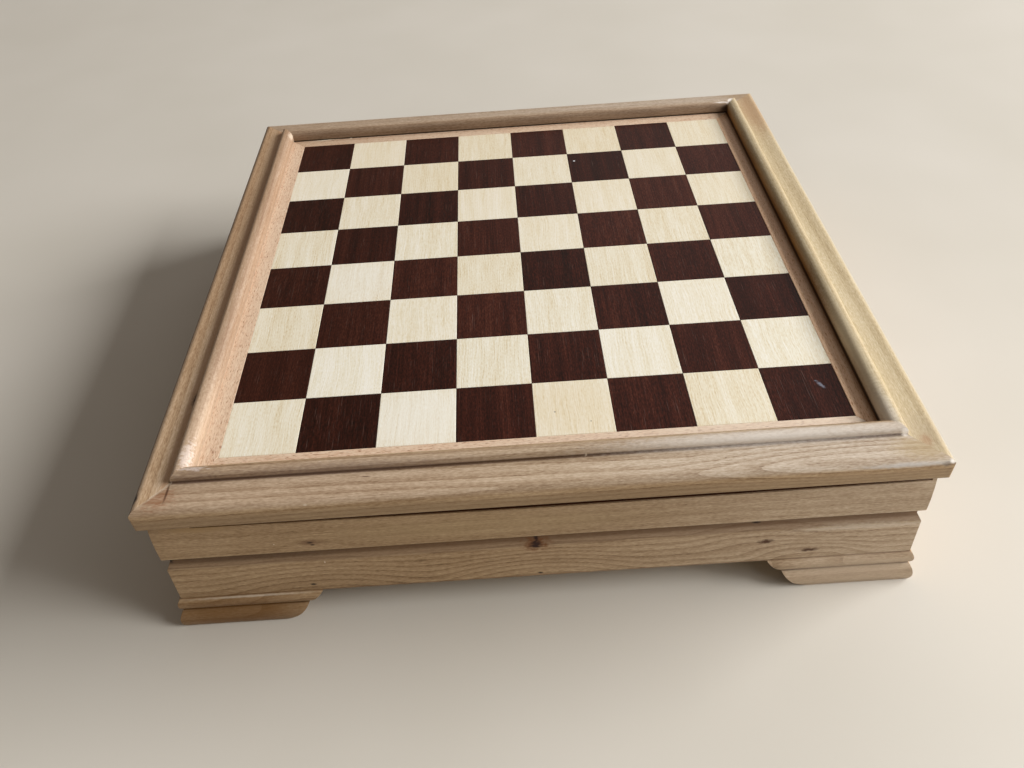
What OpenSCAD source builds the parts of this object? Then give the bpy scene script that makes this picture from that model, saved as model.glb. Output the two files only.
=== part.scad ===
// Chess box: an inlaid chessboard with a moulded cap, on a case with bracket feet
// and two drawers that slide out to the players' sides (-X and +X).
// Millimetres. The origin is on the table under the board's centre, +Z up, front towards -Y.

/* [Board] */
// Side of one chess square
square = 40; // [34:1:46]
// How much the outer squares were trimmed when the veneered field was cut true
field_trim = 1.5; // [0.5:0.5:3]
// Visible width of the beech strip around the squares
border_w = 9.5; // [6:0.5:14]
// Thickness of the veneers of the playing side
veneer_t = 0.8; // [0.5:0.1:1.2]
// Thickness of the board's plywood core
core_t = 8.5; // [6:0.5:12]
// Thickness of the veneer under the core
backing_t = 0.7; // [0.5:0.1:1.2]
// Glue line between two neighbouring veneers
glue_line = 0.1; // [0.05:0.01:0.2]
// Room left between the board's edge and the rebate that holds it
panel_clear = 0.3; // [0.1:0.1:0.6]

/* [Cap rails] */
// Width of a cap rail, from the recess to its outer face
cap_w = 26; // [24:0.5:32]
// How far the board tucks in under the rail's bead
rebate_w = 4.3; // [3:0.1:6]
// Width of the bead around the recess
bead_w = 8.3; // [7:0.1:10]
// Height of the bead's crest above the squares
bead_rise = 8.3; // [7.4:0.1:9.5]
// Distance of the bead's crest from the recess
crest_in = 5.2; // [4:0.1:6]
// Height of the rounding on the bead's side towards the recess
bead_round = 4; // [3:0.1:6]
// Drop of the bead from its crest to the quirk
bead_fall = 2.6; // [1.8:0.1:3]
// Height of the rail's band above the squares at the quirk
band_rise = 4.0; // [3.2:0.1:4.2]
// How much lower the band is at the rail's outer edge
band_fall = 0.8; // [0.4:0.1:1.2]
// Hollow of the band between its two edges
band_cove = 0.35; // [0.1:0.05:0.6]
// Radius of the rail's upper outer edge
edge_r = 4.8; // [2:0.1:6]
// Radius of the rail's lower outer edge
under_r = 2.2; // [0.5:0.1:3]
// Radius of the cap's four corners, seen from above
corner_r = 2.5; // [1:0.1:4]

/* [Case] */
// Height of the case, from the table to the cap's underside
case_h = 82; // [74:0.5:96]
// How far the cap stands out over the lower case moulding
cap_over = 2; // [1:0.5:3]
// Thickness of the case walls
wall_t = 18; // [16:0.5:22]
// Height of the top of the lower moulding above the table
plinth_top = 54.4; // [50:0.1:60]
// How far the upper moulding stands in from the lower one, at its top
frieze_in = 2.2; // [1.5:0.1:3]
// How far the upper moulding leans out towards its lower edge
frieze_lean = 1.4; // [0.5:0.1:2]
// Roundness of the upper moulding's face
frieze_bulge = 0.3; // [0.1:0.1:0.8]
// Radius of the upper moulding's lower edge
frieze_r = 0.7; // [0.5:0.1:2.5]
// Depth of the shadow gap that is cut in the front moulding, under the cap
shadow_d = 1.4; // [0.5:0.1:2.5]
// Where the shadow gap starts, left of the board's centre
shadow_left = 170; // [140:1:180]
// Where the shadow gap ends, right of the board's centre
shadow_right = 188; // [140:1:188]
// Height of the shadow gap where it starts
shadow_left_h = 4.1; // [2:0.1:6]
// Height of the shadow gap where it ends
shadow_right_h = 4.8; // [2:0.1:6]
// How much higher the shadow gap is in the middle
shadow_sag = 1.5; // [0.5:0.1:2]

/* [Plinth moulding] */
// Height of the groove between the two mouldings
groove_h = 4.2; // [2:0.1:6]
// Depth of that groove
groove_d = 3.2; // [1.5:0.1:4.5]
// Height of the bevel under the groove
bevel_h = 4.2; // [2:0.1:6]
// How far the moulding leans out from the bevel to the bead
plinth_lean = 0.8; // [0.2:0.1:1.5]
// Height of the half-round at the foot of the moulding
torus_h = 12.6; // [10:0.1:15]
// How far the half-round stands out from the moulding
torus_out = 4.2; // [3.6:0.1:6]
// How far the half-round's lower edge stands in from its widest place
toe_in = 1; // [0.5:0.1:1.5]
// Bulge of the half-round
torus_bulge = 2.1; // [1.5:0.1:2.6]
// How far the bead above it stands out
small_bead_out = 2.4; // [2:0.1:3]
// Bulge of that bead
small_bead_bulge = 1.7; // [1:0.1:1.9]

/* [Feet] */
// Height of the arch between two feet
arch_h = 21; // [18:0.5:26]
// Length of a foot at the top of its curve, from the moulding's face
foot_len = 75; // [64:0.1:84]
// Length of the foot end's upper lobe
lobe_run = 9.5; // [6:0.1:12]
// Length of the foot end's lower lobe
toe_run = 15; // [8:0.5:18]
// Step between the two lobes
lobe_step = 1; // [0.5:0.1:2]
// Roundness of the upper lobe
lobe_sag = 0.6; // [0.4:0.1:2]
// Roundness of the lower lobe
toe_sag = 1.8; // [0.4:0.1:2.5]
// Side of the glue block behind each foot
foot_block = 34; // [24:1:40]
// Gap between a glue block and the table
block_lift = 1; // [0.5:0.5:3]

/* [Inside] */
// Thickness of the plywood bottom
bottom_t = 4; // [3:0.5:6]
// Width of the rebate that takes the bottom
bottom_rebate = 9; // [8:0.5:10]
// Room left around the bottom
bottom_clear = 0.3; // [0.1:0.1:0.5]
// Thickness of the partition between the drawers
divider_t = 10; // [8:1:16]
// Width of a drawer guide
guide_w = 12; // [8:1:16]
// Height of a drawer guide
guide_h = 20; // [12:1:30]
// Side of the glue block in each corner of the case
corner_block = 20; // [14:1:26]

/* [Drawers] */
// Gap between a drawer front and the case around it
front_gap = 0.5; // [0.3:0.1:1]
// Running gap under a drawer
slide_clear = 0.3; // [0.2:0.1:0.5]
// Gap between a closed drawer and the partition
back_clear = 2; // [1:0.5:5]
// Room above the drawer sides
head_clear = 2.5; // [1.5:0.5:5]
// Thickness of the drawer sides and the inner front
side_t = 9; // [8:0.5:12]
// Thickness of the drawer back
back_t = 8; // [6:0.5:12]
// Thickness of the drawer bottom
tray_t = 3; // [3:0.5:5]
// Depth of the groove that holds the drawer bottom
tray_groove = 4; // [2:0.5:5]
// Height of that groove above the drawer's lower edge
tray_lift = 3; // [2:0.5:6]
// Play of the drawer bottom in its groove
tray_play = 0.1; // [0.1:0.05:0.3]
// Thickness of the felt lining
felt_t = 1; // [0.8:0.1:2]
// Margin of the felt to the drawer's sides
felt_margin = 0.4; // [0.3:0.1:2]
// Length of the finger pull under a drawer front
pull_len = 90; // [60:5:120]
// Depth of the finger pull
pull_d = 3.5; // [2:0.1:4]
// Width of the finger pull
pull_w = 11; // [8:0.5:12]

/* [Fixings] */
// Diameter of the dowels between the mouldings and the cap
dowel_d = 6; // [4:0.5:8]
// Depth of a dowel in the upper moulding
dowel_down = 12; // [8:1:16]
// Depth of a dowel in the cap rail
dowel_up = 7; // [4:0.5:8]
// Thickness of the tongues in the cap's mitres
tongue_t = 2; // [1.5:0.5:3]
// Length of a tongue across its mitre
tongue_len = 14; // [10:1:14]
// Width of a tongue along its mitre
tongue_w = 10; // [8:1:12]
// Height of the tongues above the cap's underside
tongue_lift = 3.5; // [3:0.5:5]
// Diameter of the screws
screw_d = 3; // [2.5:0.5:4]
// Diameter of the screw heads
screw_head_d = 6; // [5:0.5:7]
// Height of a countersunk screw head
screw_head_h = 1.8; // [1.5:0.1:2.2]
// Length of the bottom's screws
bottom_screw_len = 16; // [12:1:25]
// Length of the drawer fronts' screws
front_screw_len = 18; // [14:1:20]
// Play around dowels and screws in their holes
fixing_play = 0.05; // [0.02:0.01:0.1]
// Width of the cross slot in a screw head
slot_w = 0.9; // [0.6:0.1:1.2]
// Depth of the cross slot
slot_d = 0.9; // [0.5:0.1:1.2]

/* [Hidden] */

// Woods and cloth
walnut = "#a1835c";
walnut_dark = "#8d6f4c";
maple = "#e3d3b4";
mahogany = "#482824";
beech = "#d9bd9e";
plywood = "#cdb48a";
poplar = "#d2bf99";
felt_green = "#2c5a3c";
steel = "#a8a9a6";

// Sides of the box, each a quarter turn from the one before
SIDES = ["right", "back", "left", "front"];

squares_a_side = 8;
round_fn = 48;
arc_steps = 8;
cut = 1;

// Plan: half widths from the board's centre
field_half = squares_a_side * square / 2 - field_trim;
recess_half = field_half + border_w;
rebate_half = recess_half + rebate_w;
panel_half = rebate_half - panel_clear;
cap_half = recess_half + cap_w;
case_half = cap_half - cap_over;
inner_half = case_half - wall_t;
foot_half = case_half + torus_out;
bottom_half = inner_half + bottom_rebate;
foot_top_y = case_half - foot_len;
frieze_low = case_half - frieze_in + frieze_lean;
wall_mid = inner_half + wall_t / 2;
fix_line = inner_half + bottom_rebate / 2;
tongue_mid = (rebate_half + cap_half) / 2;
reach = foot_half + 10;

// Heights above the table
panel_t = veneer_t + core_t + backing_t;
board_top = case_h + panel_t;
floor_top = arch_h + bottom_t;
groove_low = plinth_top - groove_h;
bevel_low = groove_low - bevel_h;

// Drawers, as on the right side
front_half = foot_top_y - front_gap;
drawer_back = divider_t / 2 + back_clear;
drawer_low = floor_top + slide_clear;
drawer_top = case_h - head_clear;
tray_low = drawer_low + tray_lift;
tray_top = tray_low + tray_t;
inner_front = inner_half - side_t;
drawer_in_y = front_half - side_t;

// Fixing places along a side, and the two heights of the drawer fronts' screws
screw_y = foot_top_y + screw_head_d + 8;
dowel_y = (foot_top_y + inner_half) / 2;
dowel_x = case_half / 2;
front_screw_y = front_half * 0.7;
front_screw_low = (tray_top + groove_low) / 2;
front_screw_high = (plinth_top + drawer_top) / 2;

// Points on a circular arc from a to b; it bulges by h to the right of that way
function bulge(a, b, h, n = arc_steps) =
    let (
        way = b - a,
        len = norm(way),
        r = (len * len / 4 + h * h) / (2 * h),
        aside = [way[1], -way[0]] / len,
        c = (a + b) / 2 - aside * (r - h),
        start = atan2(a[1] - c[1], a[0] - c[0]),
        end = atan2(b[1] - c[1], b[0] - c[0]),
        turn = (end - start + 540) % 360 - 180
    )
    [for (i = [0 : n]) c + abs(r) * [cos(start + turn * i / n), sin(start + turn * i / n)]];

// Points on a quarter of an ellipse about c, from angle a0 to a0 + 90
function quarter(c, rx, rz, a0, n = arc_steps) =
    [for (i = [0 : n]) c + [rx * cos(a0 + 90 * i / n), rz * sin(a0 + 90 * i / n)]];

// Cross-sections: x is the distance from the board's centre, y the height
cap_outline = let (
        crest = [recess_half + crest_in, board_top + bead_rise],
        quirk = [recess_half + bead_w, crest[1] - bead_fall],
        band_in = [quirk[0], board_top + band_rise],
        band_out = [cap_half - edge_r, board_top + band_rise - band_fall]
    )
    concat(
        [[rebate_half, case_h]],
        quarter([cap_half - under_r, case_h + under_r], under_r, under_r, -90),
        quarter(band_out - [0, edge_r], edge_r, edge_r, 0),
        bulge(band_out, band_in, -band_cove),
        quarter([crest[0], quirk[1]], bead_w - crest_in, bead_fall, 0),
        quarter(crest - [0, bead_round], crest_in, bead_round, 90),
        [[recess_half, board_top], [rebate_half, board_top]]
    );

function frieze_outline(top) = concat(
        [[inner_half, plinth_top]],
        quarter([frieze_low - frieze_r, plinth_top + frieze_r], frieze_r, frieze_r, -90),
        bulge([frieze_low, plinth_top + 2 * frieze_r], [case_half - frieze_in, top], frieze_bulge),
        [[inner_half, top]]
    );

plinth_face = [
        [case_half, arch_h], [case_half - plinth_lean, bevel_low],
        [case_half - groove_d, groove_low], [case_half - groove_d, plinth_top],
        [inner_half, plinth_top]
    ];

plinth_outline = let (
        waist = case_half + small_bead_out - small_bead_bulge
    )
    concat(
        [[bottom_half, 0]],
        bulge([foot_half - toe_in, 0], [waist, torus_h], torus_bulge),
        bulge([waist, torus_h], [waist, arch_h], small_bead_bulge),
        plinth_face,
        [[inner_half, floor_top], [bottom_half, floor_top]]
    );

apron_outline = concat([[inner_half, arch_h]], plinth_face);

// The end of a foot, from the table up: x along the side, y the height
toe_y = foot_top_y + lobe_run + toe_run - lobe_step;
foot_end = concat(
        bulge([toe_y, 0], [foot_top_y + lobe_run - lobe_step, torus_h], -toe_sag),
        bulge([foot_top_y + lobe_run, torus_h], [foot_top_y, arch_h], -lobe_sag)
    );

// Turns what is drawn on the right side to another side
module on_side(side) {
    rotate([0, 0, 90 * search([side], SIDES)[0]]) children();
}

// A moulding along the right side, with the given cross-section
module moulding(outline, half_len = reach) {
    rotate([90, 0, 0]) linear_extrude(height = 2 * half_len, center = true) polygon(outline);
}

// A plate that runs outwards through the right side: its outline has x along the side, y up
module through_cut(outline) {
    rotate([90, 0, 90]) linear_extrude(height = reach) polygon(outline);
}

// A moulding along the right side, cut to its two mitres
module mitred(outline) {
    intersection() {
        moulding(outline);
        linear_extrude(height = board_top + bead_rise + cut)
            polygon([[0, 0], [reach, -reach], [reach, reach]]);
    }
}

// The part of the right side beyond its drawer; end is 1 or -1 along the side
module beyond_drawer(end) {
    low_y = end > 0 ? foot_top_y : -reach;
    intersection() {
        children();
        translate([0, low_y, -cut]) cube([reach, reach - foot_top_y, board_top + 2 * cut]);
    }
}

// The arch between the right side's two feet
module arch() {
    through_cut(concat(
        [[-toe_y, -cut], [toe_y, -cut]],
        foot_end,
        [for (i = [len(foot_end) - 1 : -1 : 0]) [-foot_end[i][0], foot_end[i][1]]]
    ));
}

// A countersunk screw from its head's face upwards; play widens it to a hole
module screw(len, play = 0) {
    cylinder(h = len, d = screw_d + 2 * play, $fn = round_fn);
    cylinder(h = screw_head_h, d1 = screw_head_d + 2 * play, d2 = screw_d + 2 * play, $fn = round_fn);
}

module slotted_screw(len) {
    difference() {
        screw(len);
        for (turn = [0, 90]) rotate([0, 0, turn])
            cube([screw_head_d * 0.7, slot_w, 2 * slot_d], center = true);
    }
}

// Dowels along the right side, at the given places; play widens them to holes
module dowels(places, play = 0) {
    for (t = places) translate([wall_mid, t, case_h - dowel_down])
        cylinder(h = dowel_down + dowel_up, d = dowel_d + 2 * play, $fn = round_fn);
}

// Screws up through the bottom's edge on the right side
module edge_screws(places, play = 0) {
    for (t = places) translate([fix_line, t, arch_h]) {
        if (play > 0) screw(bottom_screw_len, play);
        else slotted_screw(bottom_screw_len);
    }
}

// The tongue in the mitre at the right side's far end
module tongue() {
    translate([tongue_mid, tongue_mid, case_h + tongue_lift + tongue_t / 2]) rotate([0, 0, 45])
        cube([tongue_w, tongue_len, tongue_t], center = true);
}

module tongues() {
    for (side = SIDES) on_side(side) tongue();
}

// What rounds the cap's corner, at an end of the right side, takes away
module corner_waste(end) {
    mid = cap_half - corner_r;
    linear_extrude(height = board_top + bead_rise + cut) polygon(concat(
        [for (p = quarter([mid, mid], corner_r, corner_r, 0)) [p[0], end * p[1]]],
        [[mid, end * (cap_half + cut)], [cap_half + cut, end * (cap_half + cut)],
            [cap_half + cut, end * mid]]
    ));
}

module cap_rail(side, places) {
    color(walnut) difference() {
        on_side(side) difference() {
            mitred(cap_outline);
            dowels(places, fixing_play);
            for (end = [-1, 1]) corner_waste(end);
        }
        tongues();
    }
}

// One veneer square; columns run from the left, rows from the back
module veneer(column, row) {
    left = max((column - squares_a_side / 2) * square, -field_half) + glue_line / 2;
    right = min((column + 1 - squares_a_side / 2) * square, field_half) - glue_line / 2;
    back = min((squares_a_side / 2 - row) * square, field_half) - glue_line / 2;
    front = max((squares_a_side / 2 - row - 1) * square, -field_half) + glue_line / 2;
    translate([left, front, board_top - veneer_t]) cube([right - left, back - front, veneer_t]);
}

// All squares whose column and row add up to an even (0) or an odd (1) number
module veneers(odd) {
    for (column = [0 : squares_a_side - 1], row = [0 : squares_a_side - 1])
        if ((column + row) % 2 == odd) veneer(column, row);
}

module border(side) {
    color(beech) on_side(side) mitred([
        [field_half, board_top - veneer_t], [panel_half, board_top - veneer_t],
        [panel_half, board_top], [field_half, board_top]
    ]);
}

// A square sheet of the board, from one height up to another
module sheet(low, high) {
    translate([-panel_half, -panel_half, low]) cube([2 * panel_half, 2 * panel_half, high - low]);
}

module board_core() {
    color(plywood) sheet(case_h + backing_t, board_top - veneer_t);
}

module backing_veneer() {
    color(poplar) sheet(case_h, case_h + backing_t);
}

// The shadow gap in the front moulding's top edge; its floor dips in the middle
module shadow_gap() {
    start = [-shadow_left, case_h - shadow_left_h];
    end = [shadow_right, case_h - shadow_right_h];
    translate([case_half - frieze_in - shadow_d, 0, 0])
        through_cut(concat(
            bulge(start, end, shadow_sag, 2 * arc_steps),
            [[shadow_right, case_h + cut], [-shadow_left, case_h + cut]]
        ));
}

module long_frieze(side) {
    color(walnut) on_side(side) difference() {
        mitred(frieze_outline(case_h));
        dowels([-dowel_x, dowel_x], fixing_play);
        if (side == "front") shadow_gap();
    }
}

module frieze_corner(side, end) {
    color(walnut) on_side(side) difference() {
        beyond_drawer(end) mitred(frieze_outline(case_h));
        dowels([end * dowel_y], fixing_play);
    }
}

module long_plinth(side) {
    color(walnut_dark) on_side(side) difference() {
        mitred(plinth_outline);
        arch();
        edge_screws([-screw_y, 0, screw_y], fixing_play);
    }
}

module plinth_corner(side, end) {
    color(walnut_dark) on_side(side) difference() {
        beyond_drawer(end) mitred(plinth_outline);
        arch();
        edge_screws([end * screw_y], fixing_play);
    }
}

// Three-cornered block behind the foot at the right side's far end
module foot_glue_block(side) {
    color(poplar) on_side(side) translate([bottom_half, bottom_half, block_lift])
        linear_extrude(height = arch_h - block_lift)
            polygon([[0, 0], [-foot_block, 0], [0, -foot_block]]);
}

module corner_blocks() {
    low = inner_half - corner_block;
    color(poplar) for (side = SIDES) on_side(side)
        translate([low, low, floor_top]) cube([corner_block, corner_block, case_h - floor_top]);
}

module bottom_panel() {
    half = bottom_half - bottom_clear;
    notch = inner_half - bottom_clear;
    color(plywood) difference() {
        translate([-half, -half, arch_h]) cube([2 * half, 2 * half, bottom_t]);
        for (side = ["right", "left"]) on_side(side) {
            translate([notch, -foot_top_y, 0]) cube([reach, 2 * foot_top_y, case_h]);
            edge_screws([-screw_y, screw_y], fixing_play);
        }
        for (side = ["front", "back"]) on_side(side) edge_screws([-screw_y, 0, screw_y], fixing_play);
    }
}

module bottom_screws() {
    color(steel) {
        for (side = ["right", "left"]) on_side(side) edge_screws([-screw_y, screw_y]);
        for (side = ["front", "back"]) on_side(side) edge_screws([-screw_y, 0, screw_y]);
    }
}

module cap_dowels() {
    color(beech) {
        for (side = ["front", "back"]) on_side(side) dowels([-dowel_x, dowel_x]);
        for (side = ["right", "left"]) on_side(side) dowels([-dowel_y, dowel_y]);
    }
}

module mitre_tongues() {
    color(plywood) tongues();
}

module centre_divider() {
    color(poplar) translate([-divider_t / 2, -inner_half, floor_top])
        cube([divider_t, 2 * inner_half, case_h - floor_top]);
}

module guide(side, end) {
    color(poplar) on_side(side)
        translate([divider_t / 2, end > 0 ? foot_top_y : -foot_top_y - guide_w, floor_top])
            cube([inner_half - divider_t / 2, guide_w, guide_h]);
}

// Screws from inside a drawer into its moulded front
module front_screws(play = 0) {
    for (t = [-front_screw_y, front_screw_y], z = [front_screw_low, front_screw_high])
        translate([inner_front, t, z]) rotate([0, 90, 0]) {
            if (play > 0) screw(front_screw_len, play);
            else slotted_screw(front_screw_len);
        }
}

// Round-ended groove under a drawer front, for the fingers
module finger_pull() {
    r = (pull_w * pull_w / 4 + pull_d * pull_d) / (2 * pull_d);
    translate([wall_mid, 0, arch_h + pull_d - r]) rotate([90, 0, 0]) {
        cylinder(h = pull_len - 2 * r, r = r, center = true, $fn = round_fn);
        for (end = [-1, 1]) translate([0, 0, end * (pull_len / 2 - r)]) sphere(r = r, $fn = round_fn);
    }
}

module drawer_frieze(side) {
    color(walnut) on_side(side) difference() {
        moulding(frieze_outline(case_h - front_gap), front_half);
        front_screws(fixing_play);
    }
}

module drawer_plinth(side) {
    color(walnut_dark) on_side(side) difference() {
        moulding(apron_outline, front_half);
        finger_pull();
        front_screws(fixing_play);
    }
}

// The groove that holds a drawer's bottom
module tray_slot() {
    half = drawer_in_y + tray_groove;
    translate([0, -half, tray_low]) cube([inner_front + tray_groove, 2 * half, tray_t + tray_play]);
}

module drawer_inner_front(side) {
    color(poplar) on_side(side) difference() {
        translate([inner_front, -front_half, drawer_low])
            cube([side_t, 2 * front_half, drawer_top - drawer_low]);
        tray_slot();
        front_screws(fixing_play);
    }
}

module drawer_side(side, end) {
    color(poplar) on_side(side) difference() {
        translate([drawer_back, end > 0 ? drawer_in_y : -front_half, drawer_low])
            cube([inner_front - drawer_back, side_t, drawer_top - drawer_low]);
        tray_slot();
    }
}

module drawer_back_board(side) {
    color(poplar) on_side(side) translate([drawer_back, -drawer_in_y, tray_top])
        cube([back_t, 2 * drawer_in_y, drawer_top - tray_top]);
}

module drawer_bottom(side) {
    half = drawer_in_y + tray_groove - tray_play;
    color(plywood) on_side(side) translate([drawer_back, -half, tray_low])
        cube([inner_front + tray_groove - tray_play - drawer_back, 2 * half, tray_t]);
}

module drawer_felt(side) {
    low_x = drawer_back + back_t + felt_margin;
    half = drawer_in_y - felt_margin;
    color(felt_green) on_side(side) translate([low_x, -half, tray_top])
        cube([inner_front - felt_margin - low_x, 2 * half, felt_t]);
}

module drawer_screws(side) {
    color(steel) on_side(side) front_screws();
}

cap_rail("front", [-dowel_x, dowel_x]);  // cap_rail_front
cap_rail("back", [-dowel_x, dowel_x]);  // cap_rail_back
cap_rail("left", [-dowel_y, dowel_y]);  // cap_rail_left
cap_rail("right", [-dowel_y, dowel_y]);  // cap_rail_right
mitre_tongues();
cap_dowels();
board_core();
color(maple) veneers(1);  // light_squares
color(mahogany) veneers(0);  // dark_squares
border("front");  // border_front
border("back");  // border_back
border("left");  // border_left
border("right");  // border_right
backing_veneer();
long_frieze("front");  // frieze_front
long_frieze("back");  // frieze_back
frieze_corner("left", 1);  // frieze_left_front
frieze_corner("left", -1);  // frieze_left_back
frieze_corner("right", -1);  // frieze_right_front
frieze_corner("right", 1);  // frieze_right_back
long_plinth("front");  // plinth_front
long_plinth("back");  // plinth_back
plinth_corner("left", 1);  // plinth_left_front
plinth_corner("left", -1);  // plinth_left_back
plinth_corner("right", -1);  // plinth_right_front
plinth_corner("right", 1);  // plinth_right_back
foot_glue_block("left");  // foot_block_left_front
foot_glue_block("back");  // foot_block_left_back
foot_glue_block("front");  // foot_block_right_front
foot_glue_block("right");  // foot_block_right_back
corner_blocks();
bottom_panel();
bottom_screws();
centre_divider();
guide("left", 1);  // guide_left_front
guide("left", -1);  // guide_left_back
guide("right", -1);  // guide_right_front
guide("right", 1);  // guide_right_back
drawer_frieze("left");  // drawer_left_frieze
drawer_plinth("left");  // drawer_left_plinth
drawer_inner_front("left");  // drawer_left_inner_front
drawer_side("left", 1);  // drawer_left_side_front
drawer_side("left", -1);  // drawer_left_side_back
drawer_back_board("left");  // drawer_left_back
drawer_bottom("left");  // drawer_left_bottom
drawer_felt("left");  // drawer_left_felt
drawer_screws("left");  // drawer_left_screws
drawer_frieze("right");  // drawer_right_frieze
drawer_plinth("right");  // drawer_right_plinth
drawer_inner_front("right");  // drawer_right_inner_front
drawer_side("right", -1);  // drawer_right_side_front
drawer_side("right", 1);  // drawer_right_side_back
drawer_back_board("right");  // drawer_right_back
drawer_bottom("right");  // drawer_right_bottom
drawer_felt("right");  // drawer_right_felt
drawer_screws("right");  // drawer_right_screws
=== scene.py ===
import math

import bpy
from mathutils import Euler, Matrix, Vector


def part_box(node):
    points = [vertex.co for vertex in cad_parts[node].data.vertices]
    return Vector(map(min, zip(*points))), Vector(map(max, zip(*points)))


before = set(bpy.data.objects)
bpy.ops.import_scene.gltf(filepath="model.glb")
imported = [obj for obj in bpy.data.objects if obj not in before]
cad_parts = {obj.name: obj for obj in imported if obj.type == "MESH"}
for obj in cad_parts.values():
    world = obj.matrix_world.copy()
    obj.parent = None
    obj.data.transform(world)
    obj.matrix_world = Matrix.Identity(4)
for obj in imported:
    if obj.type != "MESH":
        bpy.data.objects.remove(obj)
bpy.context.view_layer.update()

# Dresses the chess box: gives each CAD node its wood, veneer, felt or metal, eases its edges,
# and sets up the floor, the lamps and the camera. It adds no piece of its own.

# Sizes and places are in millimetres, from the middle of the box at table height, with the front
# towards -Y and the players at -X and +X. They become metres where they meet Blender.
MM = 0.001
FULL_TURN = 2 * math.pi
WAVE_PERIOD = FULL_TURN / 20  # the wave texture's own ring width at scale 1

# Sockets of the colour mix node, which are numbered because their names repeat.
FIRST_COLOUR, SECOND_COLOUR, MIXED_COLOUR = 6, 7, 2


def box_of(nodes):
    """The low and high corners of one board, which may be cut into several CAD nodes."""
    boxes = [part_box(name) for name in nodes]
    low = [min(box[0][i] for box in boxes) / MM for i in range(3)]
    high = [max(box[1][i] for box in boxes) / MM for i in range(3)]
    return low, high


SQUARE = 40.0  # side of one square of the board

# Heights above the table.
BOARD_TOP = box_of(["light_squares"])[1][2]
CAP_UNDER = box_of(["cap_rail_right"])[0][2]
PLINTH_TOP = box_of(["plinth_front"])[1][2]

# Distances out from the middle, which are the same on all four sides.
RECESS = box_of(["cap_rail_right"])[0][0]  # where the bead rises from the board
CAP_EDGE = box_of(["cap_rail_right"])[1][0]  # the cap's outer face
QUIRK = RECESS + 8.3  # the groove on the outer side of the bead
CASE = CAP_EDGE - 2.0  # the face of the lower moulding, which the cap overhangs
FOOT_WAIST = CASE + 0.7  # the joint between the half-round at the foot and the bead above it


# ---------------------------------------------------------------- nodes

def linear(shade):
    """An sRGB hex colour as the linear colour that a socket takes."""
    parts = [int(shade[i:i + 2], 16) / 255 for i in (1, 3, 5)]
    return [p / 12.92 if p <= 0.04045 else ((p + 0.055) / 1.055) ** 2.4 for p in parts] + [1.0]


def add(tree, kind, inputs=(), out=0, stops=(), **settings):
    """Adds a node with its settings, values and links, and returns its output."""
    node = tree.nodes.new("ShaderNode" + kind)
    for name, value in settings.items():
        setattr(node, name, value)
    for key, value in dict(inputs).items():
        if isinstance(value, bpy.types.NodeSocket):
            tree.links.new(value, node.inputs[key])
        else:
            node.inputs[key].default_value = value
    if stops:
        points = node.color_ramp.elements
        while len(points) < len(stops):
            points.new(1.0)
        for point, (place, shade) in zip(points, stops):
            point.position = place
            point.color = linear(shade)
    return node.outputs[out] if node.outputs else node


def weighed(tree, start, *parts):
    """start plus each pattern times its weight."""
    total = start
    for pattern, weight in parts:
        total = add(tree, "Math", {0: pattern, 1: weight, 2: total}, operation="MULTIPLY_ADD")
    return total


def where(tree, *rises, most=1.0):
    """0 where a value is at the start of its rise, and growing smoothly to most where every
    value is at its end."""
    amount = most
    for value, start, end in rises:
        rise = add(tree, "MapRange", {"Value": value, "From Min": start, "From Max": end},
                   interpolation_type="SMOOTHSTEP")
        amount = add(tree, "Math", {0: amount, 1: rise}, operation="MULTIPLY")
    return amount


def covered(tree, colour, coats):
    """The colour under coats, each a colour and how much of it shows."""
    for coat, amount in coats:
        colour = add(tree, "Mix", {0: amount, FIRST_COLOUR: colour, SECOND_COLOUR: coat},
                     out=MIXED_COLOUR, data_type="RGBA")
    return colour


# ---------------------------------------------------------------- places on the box

def in_mm(tree, turn=(0, 0, 0), middle=(0, 0, 0), start=(0, 0, 0)):
    """Millimetres from middle, turned by Euler angles, and moved on by start."""
    turn = Euler(turn)
    shift = Vector(start) - turn.to_matrix() @ Vector(middle)
    place = add(tree, "TexCoord", out="Object")
    return add(tree, "Mapping", {"Vector": place, "Location": shift, "Rotation": turn,
                                 "Scale": (1 / MM, 1 / MM, 1 / MM)})


def along_grain(tree, middle, grain, start=0.0, tilt=0.0):
    """Millimetres from the board's middle, turned so that X runs along the grain."""
    turns = {"X": (0, 0, tilt), "Y": (0, 0, tilt - math.pi / 2), "Z": (0, math.pi / 2, tilt)}
    return in_mm(tree, turns[grain], middle, (start, 0, 0))


def out_and_up(tree):
    """How far out from the box's middle a place lies, as a square grows, and how high."""
    x, y, height = add(tree, "SeparateXYZ", {0: in_mm(tree)}).node.outputs
    across, along = [add(tree, "Math", {0: axis}, operation="ABSOLUTE") for axis in (x, y)]
    return add(tree, "Math", {0: across, 1: along}, operation="MAXIMUM"), height


# ---------------------------------------------------------------- patterns

def streaks(tree, place, length, width, detail=2.0):
    """Soft streaks of about that length along the grain and width across it."""
    drawn = add(tree, "Mapping", {"Vector": place, "Scale": (1 / length, 1 / width, 1 / width)})
    return add(tree, "TexNoise", {"Vector": drawn, "Scale": 1.0, "Detail": detail})


def growth_rings(tree, place, pith, spacing, wander, flow, push):
    """Rises from 0 to 1 across each growth ring, about a pith line along the grain.
    The rings wander off their circles; flow is how fast they do so along the grain."""
    drawn = add(tree, "Mapping", {"Vector": place, "Location": (0, -pith[0], -pith[1]),
                                  "Scale": (flow, 1, 1)})
    return add(tree, "TexWave", {
        "Vector": drawn, "Scale": WAVE_PERIOD / spacing, "Distortion": wander * FULL_TURN,
        "Detail": 2.0, "Detail Scale": 0.25, "Detail Roughness": 0.4, "Phase Offset": push,
    }, out=1, wave_type="RINGS", rings_direction="X", wave_profile="SAW")


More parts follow.
